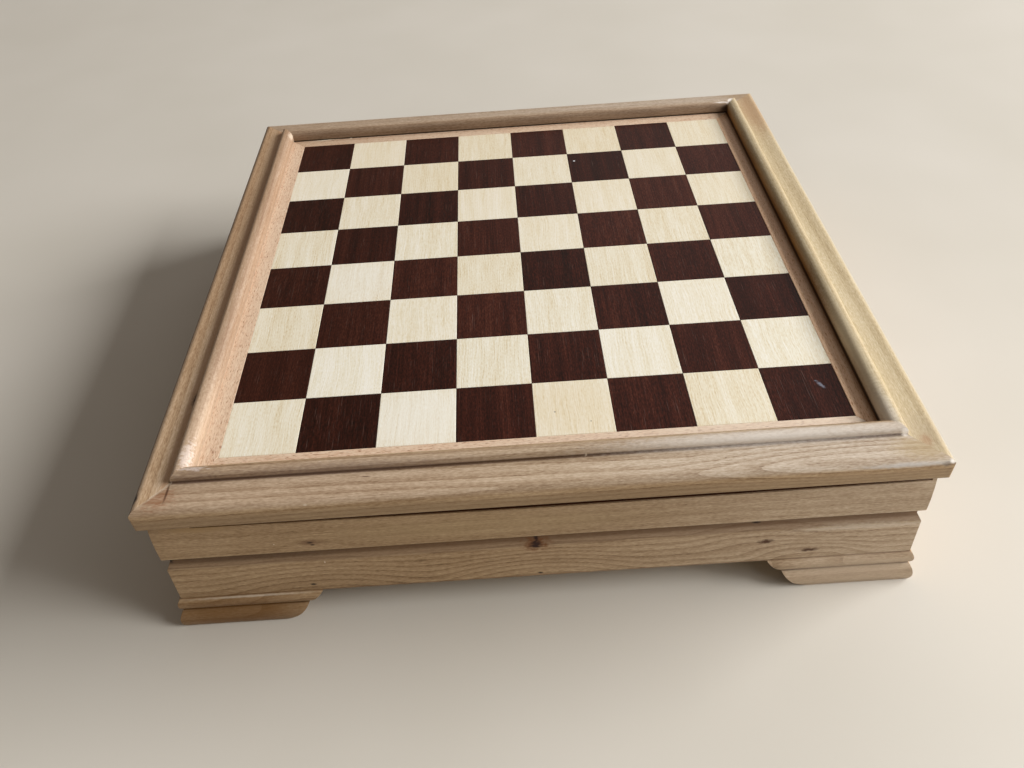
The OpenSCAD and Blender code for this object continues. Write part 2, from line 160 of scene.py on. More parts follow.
def oval(tree, centre, size, turn=0.0, ragged=0.0):
    """1 in the middle of an oval of those half sizes, turned about the upright, and falling
    to 0 at its edge, which can be ragged along the box's width."""
    away = add(tree, "VectorMath", {0: in_mm(tree, (0, 0, -turn), centre), 1: size},
               operation="DIVIDE")
    away = add(tree, "VectorMath", {0: away}, out="Value", operation="LENGTH")
    if ragged:
        rough = streaks(tree, in_mm(tree), length=2.5, width=1.2, detail=3.0)
        away = weighed(tree, -0.5 * ragged, (rough, ragged), (away, 1.0))
    return where(tree, (away, 1.0, 0.2))


# Painters: each returns a function that works out, in a material, how much of a stain there is.

def spots(*ovals, ragged=0.0, strength=1.0):
    """Oval spots, each given by its centre, half sizes and turn about the upright, in radians."""
    def paint(tree):
        return weighed(tree, 0.0, *[(oval(tree, *each, ragged=ragged), strength) for each in ovals])
    return paint


def line_round(out, height, radius, strength=1.0, worn=0.0):
    """A line that follows the moulding at that distance out and height; worn breaks it up."""
    def paint(tree):
        reach, level = out_and_up(tree)
        place = add(tree, "CombineXYZ", {0: reach, 1: level})
        away = add(tree, "VectorMath", {0: place, 1: (out, height, 0)}, out="Value",
                   operation="DISTANCE")
        rises = [(away, radius, 0.3 * radius)]
        if worn:  # in patches of about 17 mm
            patch = add(tree, "TexNoise", {"Vector": in_mm(tree), "Scale": 0.06, "Detail": 3.0})
            rises.append((patch, 0.35 + 0.2 * worn, 0.6))
        return where(tree, *rises, most=strength)
    return paint


def growing(axis, start, end, strength, least=0.0):
    """Grows from least to strength along an axis of the box."""
    def paint(tree):
        place = add(tree, "SeparateXYZ", {0: in_mm(tree)}, out=axis)
        return weighed(tree, least, (where(tree, (place, start, end)), strength - least))
    return paint


def top_wear_and_sheen(axis, start, end, strength, least=0.0):
    """Where the cap's top takes other shades, from wear and painted sheen: outside the recess,
    growing along an axis.
    """
    def paint(tree):
        reach, level = out_and_up(tree)
        return where(tree, (level, BOARD_TOP - 0.5, BOARD_TOP + 2.5),
                     (reach, RECESS + 1.5, RECESS + 4.5),
                     most=growing(axis, start, end, strength, least)(tree))
    return paint


def recessed(out, height):
    """What stands in from that distance out and above that height: the floor of a gap."""
    def paint(tree):
        reach, level = out_and_up(tree)
        return where(tree, (reach, out, out - 0.5), (level, height - 0.5, height))
    return paint


# ---------------------------------------------------------------- finishes

def blank(name):
    """A new material with an empty node tree."""
    material = bpy.data.materials.new(name)
    material.use_nodes = True
    material.node_tree.nodes.clear()
    return material, material.node_tree


def surface(tree, colour, roughness, height=None, depth=0.0, **sockets):
    """The shader and its small relief: height stands depth millimetres out, or in if negative."""
    inputs = {"Base Color": colour, "Roughness": roughness}
    inputs.update({name.replace("_", " "): value for name, value in sockets.items()})
    if height is not None:
        inputs["Normal"] = add(tree, "Bump", {"Height": height, "Distance": depth * MM,
                                              "Strength": 1.0})
    shader = add(tree, "BsdfPrincipled", inputs)
    add(tree, "OutputMaterial", {"Surface": shader})


def dress(nodes, material):
    """Puts one finish on CAD nodes."""
    for name in nodes:
        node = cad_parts[name]
        node.data.materials.clear()
        node.data.materials.append(material)


# Each wood's shades run from the darkest line of its figure to its palest fibre.
ALDER = ("#5C4128", "#937654", "#AB8E6B", "#C4A986")
COOL_ALDER = ("#5E4633", "#947A60", "#AC937A", "#C6AE95")
WARM_ALDER = ("#6B4B2E", "#A88560", "#C09F7A", "#D6B998")
GREY_ALDER = ("#7B6450", "#AC9882", "#C4B4A1", "#DACFC0")
YELLOW_ALDER = ("#756042", "#AE9975", "#C0AE8C", "#D2C5A9")
PINK_ALDER = ("#6E4C36", "#947860", "#A68C74", "#BBA591")
BEECH = ("#8E6248", "#CFAC8F", "#DCC2A7", "#E8D4BD")
POPLAR = ("#A58B63", "#CDB68D", "#DECBA6", "#EADBBB")
SHADE_STEPS = (0.0, 0.3, 0.55, 0.85)  # how light the figure is at each of those shades
CELLS_SHOW = 0.8  # how much the cell grain lightens and darkens solid wood


def figured(tree, light, shades):
    """The colour of wood for how light its figure is there."""
    return add(tree, "ValToRGB", {"Fac": light}, stops=list(zip(SHADE_STEPS, shades)))


def timber(name, nodes, grain, shades, start, pith, ring=4.5, wander=0.8, flow=0.1, tilt=0.0,
           rings_show=0.12, fibre_show=0.5, tone_show=0.4, pores_show=0.12,
           swirls=(), changes=(), stains_and_painted_light=(), roughness=0.45):
    """Varnished or bare solid wood: cell grain, fine fibres, pores and faint growth rings.
    Start is how far along its tree the board begins, tilt how far its grain turns from the
    board's length, pith where the rings' centre lies, across and up from the board's middle,
    and ring how wide a ring is. The rings bend round the swirls, which are ovals with the
    number of rings that they push. Changes are other shades that the same figure takes in
    places, from wear and from painted light, and marks of stain, dirt and wear and of painted
    light and shade cover it."""
    material, tree = blank(name)
    low, high = box_of(nodes)
    place = along_grain(tree, Vector(low).lerp(Vector(high), 0.5), grain, start, tilt)

    push = weighed(tree, 0.0, *[(oval(tree, centre, size), rings * FULL_TURN)
                                for centre, size, rings in swirls])
    rings = growth_rings(tree, place, pith, ring, wander, flow, push)
    # The late wood of a ring darkens towards its end.
    late = add(tree, "MapRange", {"Value": rings, "From Min": 0.4, "From Max": 0.95})
    fibre = streaks(tree, place, length=14, width=0.8, detail=4.0)
    tone = streaks(tree, place, length=110, width=9)
    # Real cells and pores are under a tenth of a millimetre wide, too fine to show. They are
    # drawn several times as wide, so that the wood doesn't look smooth.
    cells = streaks(tree, place, length=2.4, width=0.6, detail=3.0)
    pores = add(tree, "MapRange", {"Value": streaks(tree, place, length=3.0, width=0.35,
                                                    detail=1.0),
                                   "From Min": 0.58, "From Max": 0.7})
    # Noise is about 0.5 on average, and from this start the figure is too.
    middle = 0.5 - 0.5 * (fibre_show + tone_show + CELLS_SHOW) + 0.4 * rings_show
    light = weighed(tree, middle, (late, -rings_show), (fibre, fibre_show), (tone, tone_show),
                    (cells, CELLS_SHOW), (pores, -pores_show))
    coats = [(figured(tree, light, others), painter(tree)) for others, painter in changes]
    coats += [(linear(shade), painter(tree)) for shade, painter in stains_and_painted_light]

    rough = weighed(tree, roughness - 0.1, (fibre, 0.2), (pores, 0.15))
    relief = weighed(tree, 0.0, (fibre, 0.5), (pores, -0.6))
    surface(tree, covered(tree, figured(tree, light, shades), coats), rough, relief, 0.06,
            Specular_IOR_Level=0.3)
    dress(nodes, material)


def own_numbers(tree):
    """Random numbers that are the same all over one square of the board."""
    cells = add(tree, "VectorMath", {0: in_mm(tree), "Scale": 1 / SQUARE}, operation="SCALE")
    flat = add(tree, "VectorMath", {0: cells, 1: (1, 1, 0)}, operation="MULTIPLY")
    cell = add(tree, "VectorMath", {0: flat}, operation="FLOOR")
    return add(tree, "TexWhiteNoise", {"Vector": cell}, out="Color")


def veneer_place(tree):
    """Millimetres over one square's own leaf of veneer, with X along its grain. Each square
    takes its own stretch of the wood, up to 900 mm away from the others."""
    shift = add(tree, "VectorMath", {0: own_numbers(tree), "Scale": 900.0}, operation="SCALE")
    place = along_grain(tree, Vector((0, 0, 0)), "Y")
    return add(tree, "VectorMath", {0: place, 1: shift}, operation="ADD")


def square_at(column, row):
    """The middle of a square of the board, counted from the front left corner."""
    return (SQUARE * (column - 4.5), SQUARE * (row - 4.5), BOARD_TOP)


WHOLE_SQUARE = (SQUARE + 4, SQUARE + 4, 5)  # half sizes of a spot that tints one square


def maple_veneer():
    """Pale maple leaf, sanded and varnished: creamy, with faint wavy lines along the grain."""
    material, tree = blank("maple_veneer_satin")
    place = veneer_place(tree)
    # The lines sway by a few millimetres, in waves of 30 mm along the grain.
    sway = add(tree, "TexNoise", {"Vector": add(tree, "Mapping", {
        "Vector": place, "Scale": (1 / 30, 1 / 60, 0)}), "Scale": 1.0}, out="Color")
    bent = add(tree, "VectorMath", {0: sway, 1: (0, 5, 0), 2: place}, operation="MULTIPLY_ADD")
    lines = streaks(tree, bent, length=22, width=0.7, detail=3.0)
    bands = streaks(tree, bent, length=90, width=6, detail=1.0)
    # The cell grain is too fine to show, so it is drawn larger than it is.
    cells = streaks(tree, place, length=2.2, width=0.5, detail=3.0)
    own = add(tree, "SeparateXYZ", {0: own_numbers(tree)}).node.outputs
    light = weighed(tree, -0.46, (lines, 0.7), (bands, 0.35), (cells, 0.75), (own[0], 0.18))
    colour = add(tree, "ValToRGB", {"Fac": light}, stops=[
        (0.15, "#CDB78F"), (0.36, "#E1D6BB"), (0.56, "#EBE5D2"), (0.8, "#F4F1E7")])

    # The leaves yellow by different amounts, and painted shade darkens them towards the back.
    yellowed = weighed(tree, 0.0, (own[2], 0.14), (growing("Y", -80, 160, 0.22)(tree), 1.0))
    tan = spots((square_at(5, 1), WHOLE_SQUARE), strength=0.32)
    white = spots((square_at(3, 1), WHOLE_SQUARE), (square_at(2, 4), WHOLE_SQUARE), strength=0.35)
    specks = spots(((10.6, -142.2, BOARD_TOP), (0.6, 0.6, 2)),
                   ((28.2, -150.2, BOARD_TOP), (0.5, 0.5, 2)), strength=0.9)
    colour = covered(tree, colour, [
        (linear("#DEC596"), yellowed), (linear("#D9BE8C"), tan(tree)),
        (linear("#F7F6F0"), white(tree)), (linear("#2B1A10"), specks(tree))])
    surface(tree, colour, weighed(tree, 0.38, (lines, 0.14)), lines, 0.05,
            Specular_IOR_Level=0.3)
    dress(["light_squares"], material)


def mahogany_veneer():
    """Dark red-brown leaf with open pores, which show as sparse pale dashes along the grain."""
    material, tree = blank("mahogany_veneer_satin")
    place = veneer_place(tree)
    lines = streaks(tree, place, length=40, width=0.8, detail=3.0)
    bands = streaks(tree, place, length=150, width=7, detail=1.0)
    # Pores and cell grain are too fine to show, so they are drawn larger than they are.
    pores = add(tree, "MapRange", {"Value": streaks(tree, place, length=16, width=0.3,
                                                    detail=1.0),
                                   "From Min": 0.68, "From Max": 0.76, "To Max": 0.45})
    cells = streaks(tree, place, length=2.2, width=0.5, detail=3.0)
    own = add(tree, "SeparateXYZ", {0: own_numbers(tree)}).node.outputs
    light = weighed(tree, -0.65, (lines, 0.7), (bands, 0.45), (cells, 1.1), (own[1], 0.2))
    colour = add(tree, "ValToRGB", {"Fac": light}, stops=[
        (0.2, "#190A05"), (0.45, "#2D120A"), (0.7, "#411D13"), (1.0, "#5A3224")])

    # painted shade: darker towards the left, where the leaf catches less sheen
    browner = growing("X", 20, -150, 0.35)
    scuff = spots(((148.1, -134.8, BOARD_TOP), (1.5, 4.2, 3), 0.5), ragged=1.8, strength=0.4)
    crumb = spots(((44.4, 109.3, BOARD_TOP), (1.1, 1.1, 2)))
    colour = covered(tree, colour, [
        (linear("#1C0E06"), browner(tree)), (linear("#77635A"), pores),
        (linear("#A3ADBE"), scuff(tree)), (linear("#E8E8EA"), crumb(tree))])
    surface(tree, colour, weighed(tree, 0.4, (lines, 0.1), (pores, 0.2)), pores, -0.05,
            Specular_IOR_Level=0.14)
    dress(["dark_squares"], material)


def plywood(nodes):
    """Bare birch plywood: a pale rotary-cut face with a broad figure and fine fibres."""
    material, tree = blank("birch_plywood_bare")
    place = along_grain(tree, Vector((0, 0, 0)), "Y")
    figure = streaks(tree, place, length=90, width=9, detail=3.0)
    fibre = streaks(tree, place, length=12, width=0.6)
    light = weighed(tree, 0.0, (figure, 0.6), (fibre, 0.4))
    colour = add(tree, "ValToRGB", {"Fac": light}, stops=[
        (0.25, "#BC9C6E"), (0.45, "#D0B58A"), (0.7, "#E0CAA3")])
    surface(tree, colour, 0.65, light, 0.08, Specular_IOR_Level=0.3)
    dress(nodes, material)


def felt(nodes):
    """Wool felt lining: matted green fibres that scatter the light."""
    material, tree = blank("wool_felt_green")
    place = in_mm(tree)
    # Tufts of about 1.1 mm: single fibres are too fine to show.
    mat = add(tree, "TexNoise", {"Vector": place, "Scale": 0.9, "Detail": 4.0,
                                 "Distortion": 1.5})
    patch = streaks(tree, place, length=25, width=25)
    light = weighed(tree, 0.0, (mat, 0.7), (patch, 0.3))
    colour = add(tree, "ValToRGB", {"Fac": light}, stops=[
        (0.3, "#16412A"), (0.5, "#1F5235"), (0.75, "#33694A")])
    surface(tree, colour, 0.95, mat, 0.4, Sheen_Weight=0.12, Sheen_Roughness=0.5,
            Specular_IOR_Level=0.2)
    dress(nodes, material)


def zinc_plate(nodes):
    """Zinc-plated steel screws: bright metal with faint blotches, just under 1 mm wide."""
    material, tree = blank("zinc_plated_steel")
    blotch = add(tree, "TexNoise", {"Vector": in_mm(tree), "Scale": 1.2, "Detail": 3.0})
    colour = add(tree, "ValToRGB", {"Fac": blotch}, stops=[(0.3, "#A8A8A4"), (0.7, "#C9C9C4")])
    surface(tree, colour, weighed(tree, 0.2, (blotch, 0.3)), blotch, 0.02, Metallic=1.0)
    dress(nodes, material)


# ---------------------------------------------------------------- wear, dirt and painted shade

WORN = "#DCCDB6"  # bare fibres, where the varnish has worn off
SCUFFED = "#F6E9E2"  # fibres rubbed up at the bead's front left corner
CHIPPED = "#FFF8EE"  # freshly broken wood
DIAGONAL = math.pi / 4  # the turn of a mark that runs along the front left mitre

# Dirt and painted shade in the quirk and where the bead meets the board, and painted shade
# on the cap's outer face.
QUIRK_DIRT_AND_SHADE = ("#4C301E", line_round(QUIRK, BOARD_TOP + 4.2, 1.4, 0.8))
BEAD_FOOT_DIRT_AND_SHADE = ("#140C06", line_round(RECESS, BOARD_TOP + 0.2, 0.9, 0.95))
CAP_FACE_SHADE = ("#8E7557", line_round(CAP_EDGE + 0.2, CAP_UNDER + 3.5, 6.5, 0.5))
# The back right corner of the recess: painted shade inside, and chipped along the top of the bead.
INNER_CORNER_SHADE = ("#1A0E06", spots(((167.0, 167.0, 95), (5, 5, 5)), strength=0.8))
CORNER_CHIP = (CHIPPED, spots(((171.0, 171.6, 99.5), (6.5, 2.0, 4), 0.9),
                              ((163, 170.0, 99.4), (7, 0.9, 1.3)), ragged=1.2, strength=0.85))

# Shade in the groove between the two mouldings and on the bevel under it, the bevel's rubbed
# lower edge, and dirt in the two joints above the foot.
GROOVE = [
    ("#3E2A1A", line_round(CASE - 3.2, PLINTH_TOP, 2.0, 0.45)),
    ("#826851", line_round(CASE - 1.4, PLINTH_TOP - 6.8, 2.6, 0.6)),
    ("#65472E", line_round(CASE - 2.8, PLINTH_TOP - 4.2, 2.6, 0.8)),
    ("#BFA583", line_round(CASE - 0.8, PLINTH_TOP - 8.3, 0.7, 0.45, worn=0.1)),
    ("#2E1B0E", line_round(FOOT_WAIST, 12.6, 1.3, 0.85)),
    ("#5C4028", line_round(FOOT_WAIST - 0.6, 21.4, 0.7, 0.5)),
]


# ---------------------------------------------------------------- the cap
# Each rail is a board of its own, so each has its own figure, and its marks are listed in the
# order in which they cover each other.

def front_rail():
    """The rail over the front: greyed towards the right by wear and painted sheen, and cracked
    at the left mitre.
    """
    stains_and_painted_light = [
        QUIRK_DIRT_AND_SHADE,
        # a reddish left end, and cracks there and along the band
        ("#915C39", spots(((-181, -185, 93), (13, 9, 7)), ragged=1.4, strength=0.55)),
        ("#4A2C1A", spots(((-177.1, -181.5, 95), (0.9, 9, 4), -0.06),
                          ((-82.5, -179.9, 96), (3.6, 0.4, 3), -0.08),
                          ((88.3, -182.8, 96), (0.8, 0.5, 2)), strength=0.8)),
        # a yellowed right end, a painted highlight along its edge, and a dent
        ("#AF976C", spots(((182, -184, 95), (22, 11, 6)), ragged=0.8, strength=0.6)),
        ("#C9C9C8", spots(((172, -193.2, 93.6), (32, 1.8, 1.8)), ragged=0.8, strength=0.5)),
        ("#5F554C", spots(((189.2, -193.4, 92.8), (3.0, 2.5, 2.0)), ragged=1.0, strength=0.5)),
        # the bead: painted sheen on the right, and greyer and darker on the left
        ("#E2DAD0", spots(((112, -174.5, 98), (115, 5, 6)), ragged=0.6, strength=0.7)),
        ("#735E54", spots(((-95, -174.5, 97.5), (105, 4, 4)), ragged=0.6, strength=0.6)),
        ("#6A5650", spots(((-166, -174, 97), (24, 5, 5)), ragged=0.8, strength=0.35)),
        CAP_FACE_SHADE,
        # worn patches on the bead, the left mitre and the edge
        (WORN, spots(((-102, -172.4, 98), (6, 1.6, 3)),
                     ((-181, -181.4, 95), (15, 0.5, 6), DIAGONAL), ragged=2.0, strength=0.4)),
        (SCUFFED, spots(((-166, -171.6, 99.6), (10, 1.8, 2)), ragged=2.6, strength=0.45)),
        (WORN, spots(((-110.1, -193.2, 93.5), (1.6, 0.7, 0.7)),
                     ((23.4, -175.8, 96.5), (2.2, 0.5, 2), 0.7),
                     ((120.2, -172.0, 99), (4.5, 0.9, 2)), strength=0.9)),
        (CHIPPED, spots(((175.2, -176.2, 97.6), (3.4, 2.4, 3)),
                        ((191.8, -192.2, 93.4), (1.8, 1.8, 1.8)), ragged=0.6)),
    ]
    timber("alder_varnished_cap_front", ["cap_rail_front"], "X", ALDER, start=300,
           pith=(30, -60), tilt=0.015, ring=2.6, rings_show=0.26, stains_and_painted_light=stains_and_painted_light,
           # the top: cooler towards the left, and greyed towards the right by wear and painted
           # sheen
           changes=[(COOL_ALDER, top_wear_and_sheen("X", 60, -100, 0.8)),
                    (GREY_ALDER, top_wear_and_sheen("X", -120, 190, 0.95, 0.05))],
           swirls=[((160, -188, 95), (110, 15, 18), 2.6)])


def back_rail():
    """The rail at the back: greyed towards the right by wear and painted sheen, and in painted
    shade on the bead's inner side.
    """
    stains_and_painted_light = [
        QUIRK_DIRT_AND_SHADE, BEAD_FOOT_DIRT_AND_SHADE, CAP_FACE_SHADE, INNER_CORNER_SHADE, CORNER_CHIP,
        # painted shade on the bead's inner side, which faces away from the light, and a browner
        # right end
        ("#5E4632", line_round(RECESS, BOARD_TOP + 3.5, 5.5, 0.42)),
        ("#A08462", spots(((184, 186, 95), (24, 11, 6)), ragged=0.8, strength=0.6)),
    ]
    # wear and painted sheen, greying the top towards the right
    timber("alder_varnished_cap_back", ["cap_rail_back"], "X", COOL_ALDER, start=900,
           pith=(-60, -40), stains_and_painted_light=stains_and_painted_light, changes=[(GREY_ALDER, top_wear_and_sheen("X", -280, 200, 0.7))])


def left_rail():
    """The rail at the left: warm, with a pink bead that is rubbed pale near the front."""
    stains_and_painted_light = [
        # dirt and painted shade in the quirk
        ("#42230E", line_round(QUIRK, BOARD_TOP + 4.2, 1.4, 0.6)),
        CAP_FACE_SHADE,
        ("#A0785A", growing("Y", -200, 100, 0.2)),
        # painted light beside the quirk, which narrows the bead's shadow there; painted shade
        # along the outer edge, and a dark spot where it is notched
        ("#CFA583", line_round(QUIRK + 3.1, BOARD_TOP + 3.8, 2.6, 0.5)),
        ("#3E2112", line_round(CAP_EDGE - 0.9, BOARD_TOP + 1.5, 2.2, 0.7)),
        ("#24130A", spots(((-192.3, -183.5, 94.0), (2.4, 5.0, 2.6)), ragged=0.6)),
        # the bead: darker in the middle, a greyer line at its foot painted to cancel the light
        # bounced there, and paler near the front
        ("#8A6E58", spots(((-170, -75, 98), (7, 60, 8)), strength=0.25)),
        ("#A08B76", line_round(RECESS - 0.4, BOARD_TOP + 0.3, 2.2, 0.8)),
        ("#EBD3B8", spots(((-170, -150, 97), (7, 80, 7)), ragged=1.0, strength=0.25)),
        # worn patches along the mitre and on the bead
        (WORN, spots(((-181.4, -181, 95), (15, 0.5, 6), DIAGONAL), ragged=2.0, strength=0.4)),
        (SCUFFED, spots(((-170.8, -163, 99.4), (5, 12, 3)), ragged=2.6, strength=0.4)),
        (WORN, spots(((-168.5, 165, 98), (3.5, 6, 4)), ragged=0.8, strength=0.6)),
        # a lump of dirt in the quirk
        ("#0C0502", spots(((-177.2, -119.5, 96.6), (3.0, 8.5, 3.0)), ragged=0.5)),
    ]
    timber("alder_varnished_cap_left", ["cap_rail_left"], "Y", WARM_ALDER, start=1500,
           pith=(30, 70), ring=3.2, rings_show=0.2, fibre_show=0.6, stains_and_painted_light=stains_and_painted_light,
           # wear and painted sheen, greying the band towards the front, and the pink bead
           changes=[(GREY_ALDER, top_wear_and_sheen("Y", 260, -220, 0.2, 0.1)),
                    (PINK_ALDER, line_round(RECESS + 0.5, BOARD_TOP + 5, 9.0, 0.95))])


def right_rail():
    """The rail at the right: yellow, with painted shade on the bead's inner side, and painted
    light and wear on it near the front.
    """
    stains_and_painted_light = [
        # a painted highlight along the outer edge of the quirk, and a greyer outer edge
        ("#E4D3A6", line_round(QUIRK + 1.5, BOARD_TOP + 3.9, 0.8, 0.4, worn=0.4)),
        ("#B3A995", line_round(CAP_EDGE - 0.4, BOARD_TOP + 0.6, 4.0, 0.8)),
        # the bead: painted shade on its inner side, and painted light near the front, where it is
        # also rubbed pale
        ("#96621B", line_round(RECESS - 0.7, BOARD_TOP + 1.0, 8.0, 0.9)),
        ("#F3EADF", spots(((169, -165, 97), (7, 42, 7)), ragged=0.8, strength=0.85)),
        ("#E0CFAE", spots(((169.5, -120, 97), (7, 85, 7)), ragged=0.6, strength=0.85)),
        # the band: browner at the back, duller at the front mitre
        ("#A17A56", spots(((186, 165, 95), (14, 62, 7)), ragged=0.8, strength=0.65)),
        ("#A08E76", spots(((184, -176, 95), (14, 20, 6)), ragged=0.8, strength=0.35)),
        CAP_FACE_SHADE,
        # a brown patch on the front mitre, and dirt and painted contact shade along the bead's foot
        ("#A27551", spots(((184.0, -180.0, 95), (5, 6, 3)), ragged=1.2, strength=0.45)),
        ("#1E1208", line_round(RECESS - 0.4, BOARD_TOP + 0.4, 2.6, 0.9)),
        INNER_CORNER_SHADE, CORNER_CHIP,
    ]
    timber("alder_varnished_cap_right", ["cap_rail_right"], "Y", YELLOW_ALDER, start=2100,
           pith=(-20, 60), stains_and_painted_light=stains_and_painted_light)


# ---------------------------------------------------------------- the case

FRIEZE_PITH, PLINTH_PITH = (25, 60), (20, -60)  # the rings' centre, in each kind of board
PAINTED_LIGHT_RIGHT = [(GREY_ALDER, growing("X", -60, 190, 0.4))]  # painted light: the front is paler towards the right, where more light falls on it


def front_frieze():
    """The front's upper moulding, with one small knot, and painted shade in the shadow gap under
    the cap.
    """
    stains_and_painted_light = [
        ("#6E4A30", spots(((-115.0, -190.5, 61.5), (9, 4, 3.2)), ragged=1.0, strength=0.7)),
        ("#B29A72", spots(((-25, -190.5, 66), (120, 4, 12)), strength=0.3)),
        ("#2F190D", spots(((-115.2, -190.5, 61.4), (2.4, 3, 0.9)),
                          ((-114.2, -190.5, 59.6), (1.8, 3, 0.8)))),
        # painted shade on the floor of the shadow gap, and painted light over its left end
        ("#4A2817", recessed(CASE - 2.25, CAP_UNDER - 6.5)),
        ("#A98A60", spots(((-167, -189, 77), (24, 5, 4)), strength=0.9)),
        (WORN, spots(((-132.9, -190.5, 61.9), (0.6, 3, 0.6)))),
    ]
    timber("alder_varnished_frieze_front", ["frieze_front"], "X", ALDER, start=3000,
           pith=FRIEZE_PITH, ring=6, rings_show=0.1, changes=PAINTED_LIGHT_RIGHT, stains_and_painted_light=stains_and_painted_light,
           swirls=[((-115, -190, 61), (26, 8, 9), 0.7)])


def front_plinth():
    """The front's lower moulding and feet, with a dark knot in the middle and smaller ones."""
    stains_and_painted_light = GROOVE + [
        # painted shade on the left foot and in the groove over it, painted light on the right foot,
        # and a painted highlight along the bead of the left foot
        ("#6E4718", spots(((-165, -194, 8), (66, 12, 22)), strength=0.75)),
        ("#3A2A1E", spots(((-150, -189.5, 50.3), (75, 3.5, 3.4)), ragged=0.6, strength=0.3)),
        ("#BDA890", spots(((165, -194, 8), (60, 12, 22)), strength=0.65)),
        ("#D9CDBB", spots(((-155, -193.4, 20.9), (52, 1.6, 0.9)), ragged=0.5, strength=0.6)),
        # the middle knot: its brown ring and its black heart
        ("#70421C", spots(((-3.5, -190.6, 47.6), (9, 6, 6.5)), ragged=1.6, strength=0.85)),
        ("#2F1408", spots(((-3.5, -189, 51), (1.8, 3, 4.5)), ((-3.5, -190.8, 46.6), (4.2, 4, 3)),
                          ragged=1.2)),
        # two knots at the right, and small dark marks
        ("#4A2913", spots(((113.9, -191.5, 37.5), (5.5, 4, 2.6)),
                          ((137.4, -191.6, 28.1), (7.5, 4, 2.0)), ragged=1.0)),
        ("#1E1009", spots(((107.8, -188.8, 51), (3.5, 3, 1.5)),
                          ((-120.7, -192.4, 26.3), (2.4, 3, 1.3)),
                          ((-2, -192, 23.3), (2.0, 3, 0.8)),
                          ((-188.6, -188.8, 51), (2.2, 4, 2.2)), ragged=0.8)),
        # painted sheen on the bevel at the right, and a chip
        ("#E3D6C4", spots(((162, -191, 44.8), (50, 3, 3.0)), ragged=1.0, strength=0.4)),
        (WORN, spots(((-111.2, -190.5, 44.4), (0.6, 3, 1.2)))),
    ]
    timber("alder_varnished_plinth_front", ["plinth_front"], "X", ALDER, start=5000,
           pith=PLINTH_PITH, ring=4.6, rings_show=0.26, wander=1.0, flow=0.16,
           changes=PAINTED_LIGHT_RIGHT, stains_and_painted_light=stains_and_painted_light,
           swirls=[((-118, -191, 24), (62, 30, 30), -1.8), ((-2, -191, 20), (62, 30, 32), -2.4),
                   ((110, -191, 42), (42, 20, 18), -1.2), ((138, -191, 26), (40, 20, 16), -1.8)])


def back_mouldings():
    """The two mouldings at the back."""
    timber("alder_varnished_frieze_back", ["frieze_back"], "X", ALDER, start=3600,
           pith=FRIEZE_PITH, ring=6)
    timber("alder_varnished_plinth_back", ["plinth_back"], "X", ALDER, start=5600,
           pith=PLINTH_PITH, ring=4.2, rings_show=0.22, flow=0.16, stains_and_painted_light=GROOVE,
           swirls=[((40, 191, 28), (80, 30, 24), 2.2)])


def side_mouldings():
    """The mouldings at the sides. Each is one board, which the drawer's front is cut from."""
    for side, start in [("left", 4200), ("right", 4800)]:
        for part, further, pith, stains_and_painted_light in [("frieze", 0, FRIEZE_PITH, ()),
                                            ("plinth", 1200, PLINTH_PITH, GROOVE)]:
            nodes = [f"{part}_{side}_front", f"drawer_{side}_{part}", f"{part}_{side}_back"]
            timber(f"alder_varnished_{part}_{side}", nodes, "Y", ALDER, start=start + further,
                   pith=pith, stains_and_painted_light=stains_and_painted_light)


# ---------------------------------------------------------------- the board and the inside

def beech_strips():
    """The strips round the squares: pale beech with short dark flecks, with dirt and painted
    shade beside the bead, and painted sheen at the front right.
    """
    marks = {
        # painted sheen, paler towards the right
        "front": [("#E8DCCB", growing("X", -80, 120, 0.42))],
        "back": [BEAD_FOOT_DIRT_AND_SHADE,
                 # painted shade, darker towards the left
                 ("#8A6440", growing("X", 60, -160, 0.25)),
                 ("#F0E2C8", spots(((-123.7, 167.6, BOARD_TOP), (1.5, 0.7, 1)),
                                   ((-144, 167, BOARD_TOP), (14, 0.9, 1), 0.06), ragged=1.0))],
        "left": [],
        "right": [BEAD_FOOT_DIRT_AND_SHADE,
                  ("#F2B478", growing("Y", -170, 170, 0.35, 0.25)),
                  # painted contact shade beside the bead
                  ("#6B3D12", line_round(RECESS + 0.5, BOARD_TOP + 0.7, 4.5, 0.6))],
    }
    for number, (side, stains_and_painted_light) in enumerate(marks.items()):
        grain = "X" if side in ("front", "back") else "Y"
        timber(f"beech_varnished_strip_{side}", [f"border_{side}"], grain, BEECH,
               start=200 + 500 * number, pith=(30, -90), rings_show=0.06, pores_show=0.45,
               tone_show=0.35, stains_and_painted_light=stains_and_painted_light)


def bare_poplar(name, grain):
    """One piece of bare planed poplar, from a place in the wood that its name gives."""
    timber(f"poplar_planed_{name}", [name], grain, POPLAR, start=100 * sum(map(ord, name)),
           pith=(25, -40), rings_show=0.2, pores_show=0.15, roughness=0.65)


def poplar_pieces():
    """The bare wood inside the case and round the drawers, by the way its grain runs."""
    pieces = {"X": ["backing_veneer"], "Y": ["centre_divider"], "Z": ["corner_blocks"]}
    for side in ("left", "right"):
        pieces["Y"] += [f"drawer_{side}_inner_front", f"drawer_{side}_back"]
        for end in ("front", "back"):
            pieces["X"] += [f"guide_{side}_{end}", f"drawer_{side}_side_{end}"]
            pieces["Z"].append(f"foot_block_{side}_{end}")
    for grain, names in pieces.items():
        for name in names:
            bare_poplar(name, grain)


EASED = 0.25  # how much is taken off each edge
CAP_EASED = 0.12  # less, because the cap's curves leave narrow facets


